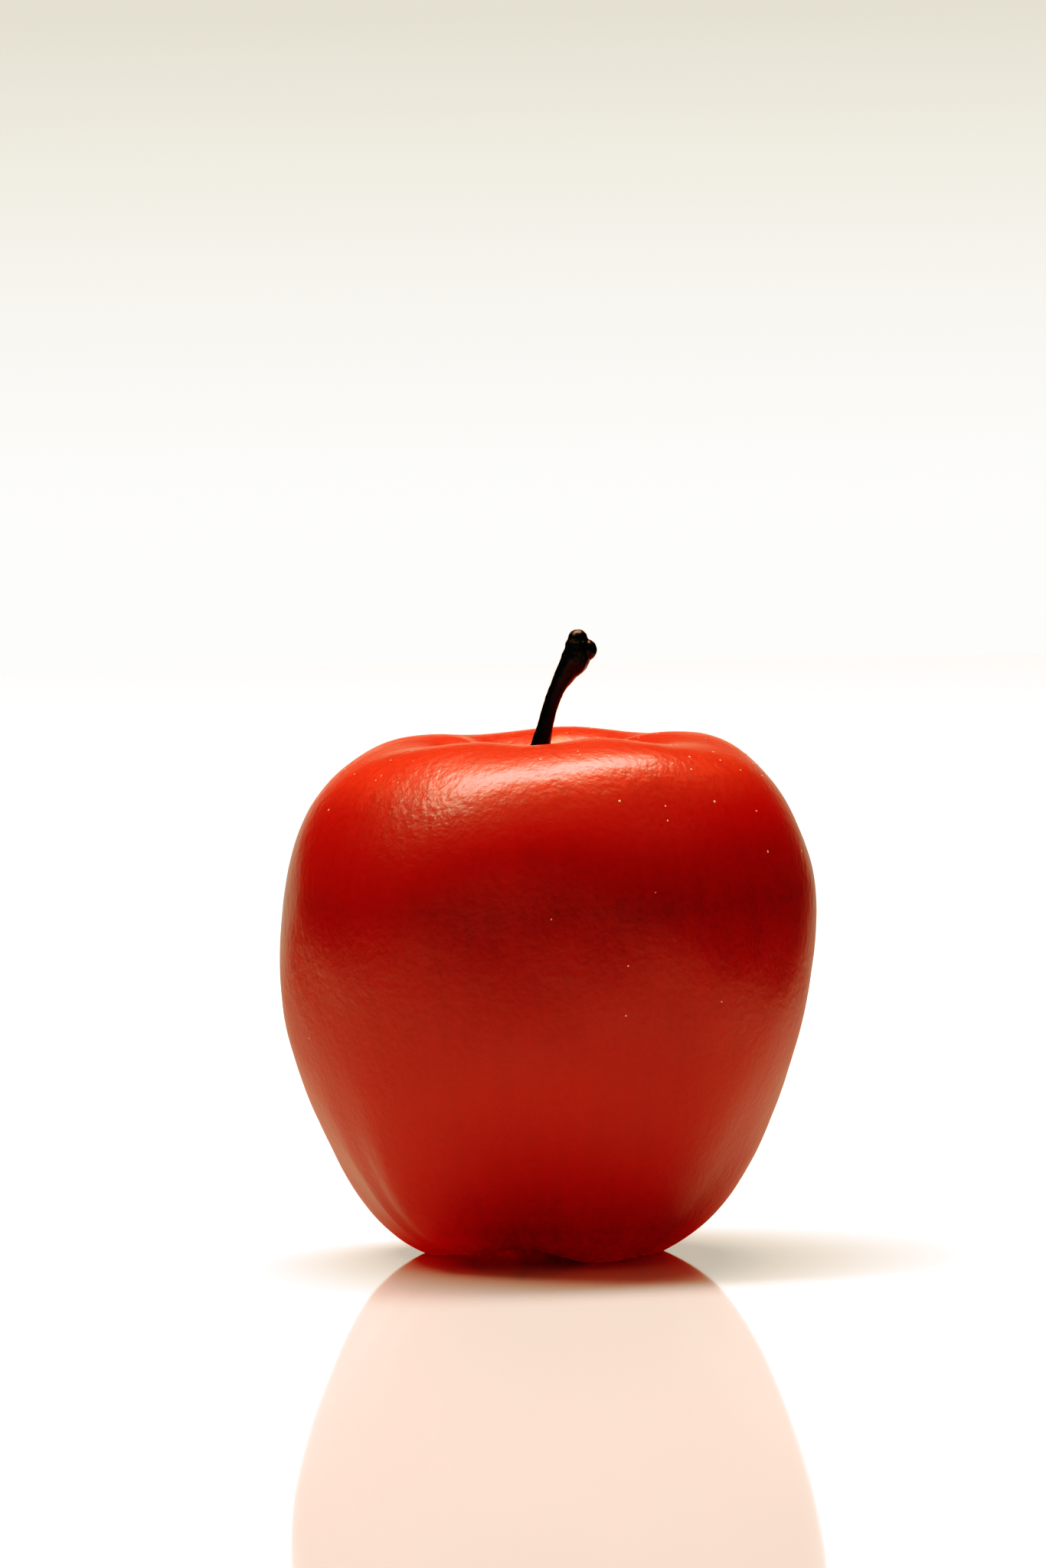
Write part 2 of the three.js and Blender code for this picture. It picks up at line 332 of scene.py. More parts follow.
def driedBark(name, look):
    # dried plant tissue: brown, fibrous along its length, nearly matt with a slight shine on ridges
    material, tree = newMaterial(name)
    place = addNode(tree, "ShaderNodeTexCoord").outputs["Object"]
    stretched = addNode(tree, "ShaderNodeMapping", None, {"Vector": place, "Scale": (1, 1, 0.25)})
    width, depth = look["fibre"]
    fibres = addNode(tree, "ShaderNodeTexNoise", None,
                     {"Vector": stretched.outputs[0], "Scale": 1 / (width * mm), "Detail": 4.0,
                      "Roughness": 0.6})
    tone = addNode(tree, "ShaderNodeMapRange", None, {0: fibres.outputs[0], 1: 0.32, 2: 0.7})
    tint = addNode(tree, "ShaderNodeMix", {"data_type": "RGBA"},
                   {0: tone.outputs[0], 6: srgb(look["dark"]), 7: srgb(look["light"])})
    bump = addNode(tree, "ShaderNodeBump", None,
                   {"Height": fibres.outputs[0], "Distance": depth * mm, "Strength": 1.0})
    shader = addNode(tree, "ShaderNodeBsdfPrincipled", None,
                     {"Base Color": tint.outputs[2], "Roughness": look["roughness"], "IOR": 1.38,
                      "Normal": bump.outputs[0]})
    addNode(tree, "ShaderNodeOutputMaterial", None, {"Surface": shader.outputs[0]})
    return material


appleSkin = waxedAppleSkin(skinLook)
speckCork = lenticelCork(skinLook)
stemBark, sepalPaper, stamenThread = [driedBark(name, look) for name, look in barkLooks.items()]

print("fruit")
# control points of the half outline from the stem cavity to the blossom basin: radius and height
# half way between lobe and valley, then how far a lobe stands out and up from there
fruitOutline = [
    (0, 60.3, 0, 0), (3.5, 60.3, 0, 0), (6.5, 64.0, 0, 0), (8.7, 70.5, -0.6, 1.2),
    (13.9, 73.5, -0.7, 0.6), (20.9, 73.8, -0.3, 0.3), (28.4, 72.0, -0.8, 0.6),
    (35.2, 63.1, -0.5, -0.5), (37.9, 54.0, 0.8, 0.4), (38.4, 42.6, 0.3, 0.1),
    (36.6, 30.8, -0.4, 0.2), (31.7, 17.4, 0.9, -0.3), (25.5, 6.5, 1.3, -0.9),
    (18.2, 0.1, 0.1, -0.3), (12.2, -1.1, -0.3, -0.6), (8.3, 3.6, 0, 0), (5.0, 8.3, 0, 0),
    (0, 8.5, 0, 0),
]
fruitShape = {
    "Around": 380,  # mesh columns, and below them the rows
    "Along": 250,
    "Lobes": 5.0,
    "Lobe Azimuth": math.radians(12),
    "Lean": 0.036,
    "Lean Pivot": 37 * mm,
    "Cavity Shift": -1.6 * mm,
    "Cavity Reach": 17 * mm,
    "Foot Lift": 2.3 * mm,  # one foot at the front hangs this far clear of the floor
    "Lift Azimuth": math.radians(247),
    "Lift Spread": 5.0,
    "Lift Height": 25 * mm,
    "Foot Radius": 12 * mm,
    "Rim Lift": 1.45 * mm,  # the front of the crown is this much fuller
    "Rim Azimuth": math.radians(271),
    "Rim Spread": 9.0,
    "Rim Inside": 9 * mm,
    "Rim Outside": 38 * mm,
    "Crease Depth": 1.0 * mm,  # a soft fold low on the left
    "Crease Azimuth": math.radians(-145),  # between -180 and 180, as the columns run
    "Crease Width": 0.19,
    "Crease Height": 34 * mm,
    "Lump Size": 9 * mm,
    "Lump Height": 0.16 * mm,
    "Ripple Size": 2.6 * mm,
    "Ripple Height": 0.026 * mm,
    "Middle X": sketchShift.x,
    "Middle Y": sketchShift.y,
    "Skin": appleSkin,
}


def outlineCurves(name, rows):
    # two smooth splines in one curve object: along a lobe first, along a valley second
    curve = bpy.data.curves.new(name, "CURVE")
    curve.dimensions = "3D"
    for side in (1, -1):
        spline = curve.splines.new("NURBS")
        spline.points.add(len(rows) - 1)
        for point, (radius, height, outward, up) in zip(spline.points, rows):
            point.co = ((radius + side * outward) * mm, 0, (height + side * up) * mm, 1)
        spline.order_u = 4
        spline.use_endpoint_u = True
        spline.resolution_u = 24
    return linkObject(name, curve)


def fruitTree(sizes):
    tree, size = newTree("growFruit", sizes)
    columns = addNode(tree, "ShaderNodeMath", {"operation": "ADD"}, {0: size["Around"], 1: 1.0})
    grid = addNode(tree, "GeometryNodeMeshGrid", None,
                   {"Size X": math.tau, "Size Y": 1.0, "Vertices X": columns.outputs[0],
                    "Vertices Y": size["Along"]})
    at = addNode(tree, "ShaderNodeSeparateXYZ", None,
                 {0: addNode(tree, "GeometryNodeInputPosition").outputs[0]}).outputs
    azimuth = at["X"]
    along = addNode(tree, "ShaderNodeMath", {"operation": "ADD"}, {0: at["Y"], 1: 0.5}).outputs[0]
    outline = []
    for index in (0, 1):
        sample = addNode(tree, "GeometryNodeSampleCurve",
                         {"mode": "FACTOR", "use_all_curves": False},
                         {"Curves": size["Geometry"], "Factor": along, "Curve Index": index})
        outline.append(sample.outputs["Position"])
    phase = addNode(tree, "ShaderNodeMath", {"operation": "SUBTRACT"},
                    {0: azimuth, 1: size["Lobe Azimuth"]})
    phases = addNode(tree, "ShaderNodeMath", {"operation": "MULTIPLY"},
                     {0: phase.outputs[0], 1: size["Lobes"]})
    wave = addNode(tree, "ShaderNodeMath", {"operation": "COSINE"}, {0: phases.outputs[0]})
    share = addNode(tree, "ShaderNodeMath", {"operation": "MULTIPLY_ADD"},
                    {0: wave.outputs[0], 1: 0.5, 2: 0.5})
    here = addNode(tree, "ShaderNodeMix", {"data_type": "VECTOR"},
                   {0: share.outputs[0], 4: outline[1], 5: outline[0]})
    mean = addNode(tree, "ShaderNodeMix", {"data_type": "VECTOR"},
                   {0: 0.5, 4: outline[1], 5: outline[0]})
    hereAt = addNode(tree, "ShaderNodeSeparateXYZ", None, {0: here.outputs[1]}).outputs
    meanAt = addNode(tree, "ShaderNodeSeparateXYZ", None, {0: mean.outputs[1]}).outputs

    # how squarely each direction faces the lifted foot and the full rim: 1 straight at it
    facing = {}
    for label in ("Lift", "Rim"):
        turn = addNode(tree, "ShaderNodeMath", {"operation": "SUBTRACT"},
                       {0: azimuth, 1: size[label + " Azimuth"]})
        turnWave = addNode(tree, "ShaderNodeMath", {"operation": "COSINE"}, {0: turn.outputs[0]})
        turnShare = addNode(tree, "ShaderNodeMath", {"operation": "MULTIPLY_ADD"},
                            {0: turnWave.outputs[0], 1: 0.5, 2: 0.5})
        facing[label] = addNode(tree, "ShaderNodeMath", {"operation": "POWER"},
                                {0: turnShare.outputs[0], 1: size[label + " Spread"]})

    # the front of the base is lifted a little, so one foot hangs clear
    lowness = addNode(tree, "ShaderNodeMapRange", None,
                      {0: meanAt["Z"], 1: 0.0, 2: size["Lift Height"], 3: 1.0, 4: 0.0})
    lownessSoft = addNode(tree, "ShaderNodeMath", {"operation": "POWER"},
                          {0: lowness.outputs[0], 1: 2.0})
    offAxis = addNode(tree, "ShaderNodeMapRange", None,
                      {0: meanAt["X"], 1: 0.0, 2: size["Foot Radius"]})
    lift = addNode(tree, "ShaderNodeMath", {"operation": "MULTIPLY"},
                   {0: facing["Lift"].outputs[0], 1: lownessSoft.outputs[0]})
    liftAway = addNode(tree, "ShaderNodeMath", {"operation": "MULTIPLY"},
                       {0: lift.outputs[0], 1: offAxis.outputs[0]})
    footed = addNode(tree, "ShaderNodeMath", {"operation": "MULTIPLY_ADD"},
                     {0: liftAway.outputs[0], 1: size["Foot Lift"], 2: hereAt["Z"]})

    # the rim of the stem cavity is filled out at the front, where two lobes have grown together
    fromCavity = addNode(tree, "ShaderNodeMapRange", {"interpolation_type": "SMOOTHSTEP"},
                         {0: meanAt["X"], 1: 3 * mm, 2: size["Rim Inside"]})
    toShoulder = addNode(tree, "ShaderNodeMapRange", {"interpolation_type": "SMOOTHSTEP"},
                         {0: meanAt["X"], 1: size["Rim Inside"], 2: size["Rim Outside"],
                          3: 1.0, 4: 0.0})
    onTop = addNode(tree, "ShaderNodeMath", {"operation": "GREATER_THAN"},
                    {0: meanAt["Z"], 1: size["Lean Pivot"]})
    rimAcross = addNode(tree, "ShaderNodeMath", {"operation": "MULTIPLY"},
                        {0: fromCavity.outputs[0], 1: toShoulder.outputs[0]})
    rimOnTop = addNode(tree, "ShaderNodeMath", {"operation": "MULTIPLY"},
                       {0: rimAcross.outputs[0], 1: onTop.outputs[0]})
    rim = addNode(tree, "ShaderNodeMath", {"operation": "MULTIPLY"},
                  {0: rimOnTop.outputs[0], 1: facing["Rim"].outputs[0]})
    height = addNode(tree, "ShaderNodeMath", {"operation": "MULTIPLY_ADD"},
                     {0: rim.outputs[0], 1: size["Rim Lift"], 2: footed.outputs[0]})

    # one soft crease runs up from the base, between two feet
    toCrease = addNode(tree, "ShaderNodeMath", {"operation": "SUBTRACT"},
                       {0: azimuth, 1: size["Crease Azimuth"]})
    widths = addNode(tree, "ShaderNodeMath", {"operation": "DIVIDE"},
                     {0: toCrease.outputs[0], 1: size["Crease Width"]})
    away = addNode(tree, "ShaderNodeMath", {"operation": "ABSOLUTE"}, {0: widths.outputs[0]})
    groove = addNode(tree, "ShaderNodeMapRange", {"interpolation_type": "SMOOTHSTEP"},
                     {0: away.outputs[0], 1: 0.0, 2: 1.0, 3: 1.0, 4: 0.0})
    fade = addNode(tree, "ShaderNodeMapRange", {"interpolation_type": "SMOOTHSTEP"},
                   {0: meanAt["Z"], 1: 3 * mm, 2: size["Crease Height"], 3: 1.0, 4: 0.0})
    fadeOut = addNode(tree, "ShaderNodeMath", {"operation": "MULTIPLY"},
                      {0: fade.outputs[0], 1: offAxis.outputs[0]})
    creased = addNode(tree, "ShaderNodeMath", {"operation": "MULTIPLY"},
                      {0: groove.outputs[0], 1: fadeOut.outputs[0]})
    inward = addNode(tree, "ShaderNodeMath", {"operation": "MULTIPLY"},
                     {0: creased.outputs[0], 1: size["Crease Depth"]})
    radius = addNode(tree, "ShaderNodeMath", {"operation": "SUBTRACT"},
                     {0: hereAt["X"], 1: inward.outputs[0]})

    # the whole fruit leans, and its stem cavity sits off the middle of the crown
    abovePivot = addNode(tree, "ShaderNodeMath", {"operation": "SUBTRACT"},
                         {0: height.outputs[0], 1: size["Lean Pivot"]})
    leaning = addNode(tree, "ShaderNodeMath", {"operation": "MULTIPLY_ADD"},
                      {0: abovePivot.outputs[0], 1: size["Lean"], 2: size["Middle X"]})
    nearAxis = addNode(tree, "ShaderNodeMapRange", None,
                       {0: meanAt["X"], 1: 0.0, 2: size["Cavity Reach"], 3: 1.0, 4: 0.0})
    nearSoft = addNode(tree, "ShaderNodeMath", {"operation": "POWER"},
                       {0: nearAxis.outputs[0], 1: 0.5})
    cavityShare = addNode(tree, "ShaderNodeMath", {"operation": "MULTIPLY"},
                          {0: nearSoft.outputs[0], 1: onTop.outputs[0]})
    sideways = addNode(tree, "ShaderNodeMath", {"operation": "MULTIPLY_ADD"},
                       {0: cavityShare.outputs[0], 1: size["Cavity Shift"], 2: leaning.outputs[0]})
    cosine = addNode(tree, "ShaderNodeMath", {"operation": "COSINE"}, {0: azimuth})
    sine = addNode(tree, "ShaderNodeMath", {"operation": "SINE"}, {0: azimuth})
    x = addNode(tree, "ShaderNodeMath", {"operation": "MULTIPLY_ADD"},
                {0: radius.outputs[0], 1: cosine.outputs[0], 2: sideways.outputs[0]})
    y = addNode(tree, "ShaderNodeMath", {"operation": "MULTIPLY_ADD"},
                {0: radius.outputs[0], 1: sine.outputs[0], 2: size["Middle Y"]})
    swept = addNode(tree, "ShaderNodeCombineXYZ", None,
                    {0: x.outputs[0], 1: y.outputs[0], 2: height.outputs[0]})
    shaped = addNode(tree, "GeometryNodeSetPosition", None,
                     {"Geometry": grid.outputs["Mesh"], "Position": swept.outputs[0]})
    outward = addNode(tree, "GeometryNodeFlipFaces", None, {0: shaped.outputs[0]})
    closed = addNode(tree, "GeometryNodeMergeByDistance", None,
                     {"Geometry": outward.outputs[0], "Distance": 0.01 * mm})

    # slow lumps and fine ripples in the flesh, then the feet are pressed flat on the floor
    place = addNode(tree, "GeometryNodeInputPosition").outputs[0]
    push = None
    for label in ("Lump", "Ripple"):
        density = addNode(tree, "ShaderNodeMath", {"operation": "DIVIDE"},
                          {0: 1.0, 1: size[label + " Size"]})
        wobble = addNode(tree, "ShaderNodeTexNoise", None,
                         {"Vector": place, "Scale": density.outputs[0], "Detail": 0.0})
        centred = addNode(tree, "ShaderNodeMath", {"operation": "MULTIPLY_ADD"},
                          {0: wobble.outputs[0], 1: 2.0, 2: -1.0})
        push = addNode(tree, "ShaderNodeMath", {"operation": "MULTIPLY_ADD"},
                       {0: centred.outputs[0], 1: size[label + " Height"],
                        2: push.outputs[0] if push else 0.0})
    offset = addNode(tree, "ShaderNodeVectorMath", {"operation": "SCALE"},
                     {0: addNode(tree, "GeometryNodeInputNormal").outputs[0],
                      "Scale": push.outputs[0]})
    lumpy = addNode(tree, "GeometryNodeSetPosition", None,
                    {"Geometry": closed.outputs[0], "Offset": offset.outputs[0]})
    floored = addNode(tree, "ShaderNodeVectorMath", {"operation": "MAXIMUM"},
                      {0: addNode(tree, "GeometryNodeInputPosition").outputs[0], 1: (-1, -1, 0)})
    standing = addNode(tree, "GeometryNodeSetPosition", None,
                       {"Geometry": lumpy.outputs[0], "Position": floored.outputs[0]})
    smooth = addNode(tree, "GeometryNodeSetShadeSmooth", None, {"Geometry": standing.outputs[0]})
    real = addNode(tree, "GeometryNodeRealizeInstances", None, {0: smooth.outputs[0]})
    dressed = addNode(tree, "GeometryNodeSetMaterial", None,
                      {"Geometry": real.outputs[0], "Material": size["Skin"]})
    addNode(tree, "NodeGroupOutput", None, {0: dressed.outputs[0]})
    return tree


fruitOutlines = outlineCurves("fruitOutlines", fruitOutline)
fruit = grow(fruitOutlines, fruitTree(fruitShape), fruitShape, "appleFruit")
bpy.data.objects.remove(fruitOutlines)
print("  fruit faces", len(fruit.data.polygons))

print("lenticels")
lenticelShape = {
    "Number Per Area": 1800.0,  # on each square metre of skin
    "Crown Share": 18.0,  # this many times closer together on the crown
    "Crown From": 62 * mm,
    "Crown To": 71 * mm,
    "Radius": 0.24 * mm,
    "Flatness": 0.3,
    "Smallest": 0.45,
    "Seed": 7,
    "Cork": speckCork,
}


def lenticelTree(sizes):
    tree, size = newTree("scatterLenticels", sizes)
    place = addNode(tree, "GeometryNodeInputPosition").outputs[0]
    height = addNode(tree, "ShaderNodeSeparateXYZ", None, {0: place}).outputs["Z"]
    share = addNode(tree, "ShaderNodeMapRange", None,
                    {0: height, 1: size["Crown From"], 2: size["Crown To"], 3: 1.0,
                     4: size["Crown Share"]})
    density = addNode(tree, "ShaderNodeMath", {"operation": "MULTIPLY"},
                      {0: size["Number Per Area"], 1: share.outputs[0]})
    spots = addNode(tree, "GeometryNodeDistributePointsOnFaces", {"distribute_method": "RANDOM"},
                    {"Mesh": size["Geometry"], "Density": density.outputs[0],
                     "Seed": size["Seed"]})
    dot = addNode(tree, "GeometryNodeMeshIcoSphere", None,
                  {"Radius": size["Radius"], "Subdivisions": 1})
    flat = addNode(tree, "ShaderNodeCombineXYZ", None, {0: 1.0, 1: 1.0, 2: size["Flatness"]})
    varied = addNode(tree, "FunctionNodeRandomValue", {"data_type": "FLOAT"},
                     {2: size["Smallest"], 3: 1.0, "Seed": size["Seed"]})
    scale = addNode(tree, "ShaderNodeVectorMath", {"operation": "SCALE"},
                    {0: flat.outputs[0], "Scale": varied.outputs[1]})
    dots = addNode(tree, "GeometryNodeInstanceOnPoints", None,
                   {"Points": spots.outputs["Points"], "Instance": dot.outputs["Mesh"],
                    "Rotation": spots.outputs["Rotation"], "Scale": scale.outputs[0]})
    real = addNode(tree, "GeometryNodeRealizeInstances", None, {0: dots.outputs[0]})
    smooth = addNode(tree, "GeometryNodeSetShadeSmooth", None, {"Geometry": real.outputs[0]})
    dressed = addNode(tree, "GeometryNodeSetMaterial", None,
                      {"Geometry": smooth.outputs[0], "Material": size["Cork"]})
    addNode(tree, "NodeGroupOutput", None, {0: dressed.outputs[0]})
    return tree


lenticels = grow(fruit, lenticelTree(lenticelShape), lenticelShape, "skinLenticels")
print("  lenticel faces", len(lenticels.data.polygons))

print("stem")
# sizes in mm
stemShape = {
    # centre line: x, height, radius
    "line": [(-1.4, 57.8, 1.35), (-1.4, 62.0, 1.5), (-1.0, 67.5, 1.56), (-0.05, 73.0, 1.4),
             (0.65, 75.5, 1.12), (1.35, 78.0, 1.04), (2.55, 81.0, 1.18), (3.75, 83.1, 1.55),
             (4.9, 84.7, 2.05), (5.45, 86.0, 2.0), (5.5, 87.2, 1.82), (5.5, 88.1, 1.35),
             (5.5, 88.75, 0.7)],
    "knobs": [(5.5, 87.85, 1.4), (6.65, 86.25, 1.57)],  # x, height, radius
    "voxel": 0.11,
    "ridgeWidth": 0.75,
    "ridgeDepth": 0.1,
    "ridgeLean": 0.35,  # the ridges lean with the stem, this much sideways for each mm up
    "leanFrom": 74,
    "ridgeStretch": 0.12,  # noise squeezed this much along the stem makes long ridges
    "pitSize": 0.35,
    "pitDepth": 0.035,
    "pitStretch": 0.6,
}


def stemMesh(shape):
    curve = bpy.data.curves.new("stemLine", "CURVE")
    curve.dimensions = "3D"
    curve.bevel_depth = mm
    curve.bevel_resolution = 8
    curve.use_fill_caps = True
    spline = curve.splines.new("BEZIER")
    spline.bezier_points.add(len(shape["line"]) - 1)
    for point, (x, height, radius) in zip(spline.bezier_points, shape["line"]):
        point.co = (x * mm, 0, height * mm)
        point.radius = radius
        point.handle_left_type = point.handle_right_type = "AUTO"
    spline.resolution_u = 10
    shaft = linkObject("stemShaft", curve)
    mesh = evaluatedMesh(shaft)
    bpy.data.objects.remove(shaft)
    body = bmesh.new()
    body.from_mesh(mesh)
    for x, height, radius in shape["knobs"]:
        ball = bmesh.ops.create_uvsphere(body, u_segments=32, v_segments=20, radius=radius * mm)
        bmesh.ops.translate(body, verts=ball["verts"], vec=(x * mm, 0, height * mm))
    body.to_mesh(mesh)
    body.free()
    return mesh


def makeStem(shape):
    stem = linkObject("appleStem", stemMesh(shape))
    fuse = stem.modifiers.new("fuse", "REMESH")
    fuse.mode = "VOXEL"
    fuse.voxel_size = shape["voxel"] * mm
    soften = stem.modifiers.new("soften", "SMOOTH")
    soften.factor = 0.5
    soften.iterations = 4
    mesh = evaluatedMesh(stem)
    stem.modifiers.clear()
    stem.data = mesh
    # lengthwise ridges of shrunken tissue, and pits
    moves = []
    for vertex in mesh.vertices:
        x, y, z = vertex.co / mm
        upright = x - shape["ridgeLean"] * (z - shape["leanFrom"])
        ridge = noise.noise(Vector((upright, y, z * shape["ridgeStretch"])) / shape["ridgeWidth"])
        pit = noise.noise(Vector((x, y, z * shape["pitStretch"])) / shape["pitSize"])
        moves.append(ridge * shape["ridgeDepth"] + pit * shape["pitDepth"])
    normals = [normal.vector.copy() for normal in mesh.vertex_normals]
    for vertex, normal, move in zip(mesh.vertices, normals, moves):
        vertex.co += normal * move * mm
    mesh.transform(Matrix.Translation(sketchShift))
    dress(mesh, stemBark)
    return stem


stem = makeStem(stemShape)
print("  stem faces", len(stem.data.polygons))

print("calyx")
# sizes in mm
calyxShape = {
    "count": 5,
    "rows": 28,  # of mesh faces, from root to tip
    "columns": 11,
    "azimuth": math.radians(47),
    "length": 6.0,
    "width": 3.2,
    "thickness": 0.35,
    "rootRadius": 3.3,
    "rootHeight": 7.75,
    "startAngle": math.radians(20),
    "curl": math.radians(75),
    "crumple": 0.22,
    "seed": 11,
}
# the basin has moved sideways with the fruit's lean
basinLean = fruitShape["Lean"] * (calyxShape["rootHeight"] * mm - fruitShape["Lean Pivot"])
calyxShift = sketchShift + Vector((basinLean, 0, 0))


def makeSepal(index, shape):
    # a pointed leaf on a small grid, curled down out of the basin, then given a thickness
    rows, columns = shape["rows"], shape["columns"]
    body = bmesh.new()
    grid = []
    for i in range(rows + 1):
        t = i / rows
        # widest a third of the way along, drawn in at the root, and a blunt point at the tip
        halfWidth = shape["width"] / 2 * (0.72 + 1.1 * t - 1.72 * t * t) * (1 - t ** 8) + 0.06
        angle = shape["startAngle"] + shape["curl"] * t
        radius = shape["length"] / shape["curl"]
        out = radius * (math.sin(angle) - math.sin(shape["startAngle"]))
        down = radius * (math.cos(shape["startAngle"]) - math.cos(angle))
        line = []
        for j in range(columns + 1):
            across = (j / columns) * 2 - 1
            cup = 0.35 * across * across * (1 - 0.4 * t)
            wrinkle = noise.noise(Vector((t * 5, across * 1.6, index * 7.3 + shape["seed"])))
            wrinkle += 0.5 * noise.noise(Vector((t * 12, across * 4, index * 3.1)))
            lift = cup + shape["crumple"] * wrinkle * (0.3 + t)
            place = Vector((shape["rootRadius"] + out + lift * math.sin(angle),
                            across * halfWidth,
                            shape["rootHeight"] - down + lift * math.cos(angle)))
            line.append(body.verts.new(place * mm))
        grid.append(line)
    for low, high in zip(grid, grid[1:]):
        for j in range(columns):
            body.faces.new((low[j], low[j + 1], high[j + 1], high[j]))
    mesh = bpy.data.meshes.new(f"sepal{index + 1}")
    body.to_mesh(mesh)
    body.free()
    turn = Matrix.Rotation(shape["azimuth"] + index * math.tau / shape["count"], 4, "Z")
    mesh.transform(Matrix.Translation(calyxShift) @ turn)
    sepal = linkObject(f"driedSepal{index + 1}", mesh)
    wall = sepal.modifiers.new("thickness", "SOLIDIFY")
    wall.thickness = shape["thickness"] * mm
    wall.offset = 1
    mesh = evaluatedMesh(sepal)
    sepal.modifiers.clear()
    sepal.data = mesh
    dress(mesh, sepalPaper)
    return sepal


sepals = [makeSepal(i, calyxShape) for i in range(calyxShape["count"])]

stamenShape = {
    "count": 16,
    "sides": 6,  # of each thread
    "steps": 8,  # along it
    "length": 3.0,
    "radius": 0.13,
    "anther": 0.26,
    "padRadius": 1.25,
    "padHeight": 7.6,
    "padFlatness": 0.28,
    "splay": math.radians(24),
    "seed": 5,
}


def makeStamens(shape):
    # a domed pad with shrivelled threads hanging from it, each with its dried anther
    chance = random.Random(shape["seed"])
    body = bmesh.new()
    pad = bmesh.ops.create_uvsphere(body, u_segments=28, v_segments=14,
                                    radius=shape["padRadius"] * mm)
    for vertex in pad["verts"]:
        vertex.co.z = vertex.co.z * shape["padFlatness"] + shape["padHeight"] * mm
    sides, steps = shape["sides"], shape["steps"]
    for i in range(shape["count"]):
        turn = math.tau * (i / shape["count"] + chance.uniform(-0.02, 0.02))
        root = shape["padRadius"] * chance.uniform(0.25, 0.8)
        splay = shape["splay"] * root + chance.uniform(-0.1, 0.2)
        length = shape["length"] * chance.uniform(0.7, 1.0)
        bend = chance.uniform(-0.5, 0.5)
        rings = []
        for k in range(steps + 1):
            t = k / steps
            angle = splay + bend * t
            out = root + length * t * math.sin(angle)
            height = shape["padHeight"] - 0.15 - length * t * math.cos(angle)
            swell = shape["anther"] if k == steps - 1 else shape["radius"] * (1 - 0.3 * t)
            if k == steps:
                swell = 0.1
            ring = []
            for s in range(sides):
                around = math.tau * s / sides
                point = Vector((out + swell * math.cos(around), swell * math.sin(around), height))
                point = Matrix.Rotation(turn, 3, "Z") @ point
                ring.append(body.verts.new(point * mm))
            rings.append(ring)
        for low, high in zip(rings, rings[1:]):
            for s in range(sides):
                after = (s + 1) % sides
                body.faces.new((low[s], high[s], high[after], low[after]))
        body.faces.new(rings[0])
        body.faces.new(list(reversed(rings[-1])))
    bmesh.ops.recalc_face_normals(body, faces=body.faces)
    mesh = bpy.data.meshes.new("stamenTuft")
    body.to_mesh(mesh)
    body.free()
    mesh.transform(Matrix.Translation(calyxShift))
    dress(mesh, stamenThread)
    return linkObject("stamenTuft", mesh)


stamens = makeStamens(stamenShape)

print("pieces on the frame")
for piece, node, slot in [(fruit, "apple_body", "skin"), (stem, "stem", "stem_bark"),
                          (stamens, "stamens", "dried_stamen")]:
    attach(piece, "root")
    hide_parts(node)
for i, sepal in enumerate(sepals):
    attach(sepal, "root")
    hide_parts(f"sepal_{i + 1}")
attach(lenticels, "root")

print("floor and light")
studio = {
    "floorLeft": -360.0,  # the floor's edges, in mm from the apple's middle
    "floorRight": 160.0,
    "floorFront": -900.0,
    "floorBack": 1220.0,
    "floorColour": "#fdecea",
    "floorRoughness": 0.05,
    "softboxAt": (-215, 330, 1600),
    "softboxSize": (1.94, 0.48),  # metres
    "softboxTurn": -15.0,
    "softboxPower": 58.0,
    # how bright each part of the room is, and the slopes between which that comes or goes: 1 is
    # straight up, straight ahead or straight to the right
    "glow": 0.98,  # the white sweep low down behind the apple
    "glowAhead": (0.84, 0.97),
    "glowUp": (0.08, 0.32),
    "ceiling": 0.4,
    "ceilingUp": (0.5, 0.88),
    "room": 0.02,  # all round, below the ceiling
    "front": 0.46,  # a low pale wall behind the camera
    "frontAhead": (-0.75, -0.2),
    "frontUp": (0.1, 0.36),
    "leftSide": 1.15,  # the room is lighter on the left
    "rightSide": 0.72,
    "sides": (-0.5, 0.5),
    # what the camera sees over the far edge of the floor, from low to high
    "backdropUp": (-0.07, -0.02),
    "backdrop": [(0.02, 0.98), (0.09, 0.985), (0.31, 0.97), (0.53, 0.92), (0.74, 0.84),
                 (0.94, 0.745)],
}


def makeFloor(light):
    left, right = light["floorLeft"] * mm, light["floorRight"] * mm
    front, back = light["floorFront"] * mm, light["floorBack"] * mm
    corners = [(left, front, 0), (right, front, 0), (right, back, 0), (left, back, 0)]
    mesh = bpy.data.meshes.new("floor")
    mesh.from_pydata(corners, [], [(0, 1, 2, 3)])
    mesh.transform(Matrix.Translation((0, 0, -0.02 * mm)))
    material, tree = newMaterial("whiteLacqueredTop")  # glossy lacquer mirrors what stands on it
    shader = addNode(tree, "ShaderNodeBsdfPrincipled", None,
                     {"Base Color": srgb(light["floorColour"]),
                      "Roughness": light["floorRoughness"], "IOR": 1.5})
    addNode(tree, "ShaderNodeOutputMaterial", None, {"Surface": shader.outputs[0]})
    mesh.materials.append(material)
    linkObject("floor", mesh)


def makeSoftbox(light):
    lamp = bpy.data.lights.new("softbox", "AREA")
    lamp.shape = "RECTANGLE"
    lamp.size, lamp.size_y = light["softboxSize"]
    lamp.energy = light["softboxPower"]
    position = Vector(light["softboxAt"]) * mm
    look = (-position).to_track_quat("-Z", "Y").to_matrix().to_4x4()
    turn = Matrix.Rotation(math.radians(light["softboxTurn"]), 4, "Z")
    linkObject("softbox", lamp).matrix_world = Matrix.Translation(position) @ look @ turn


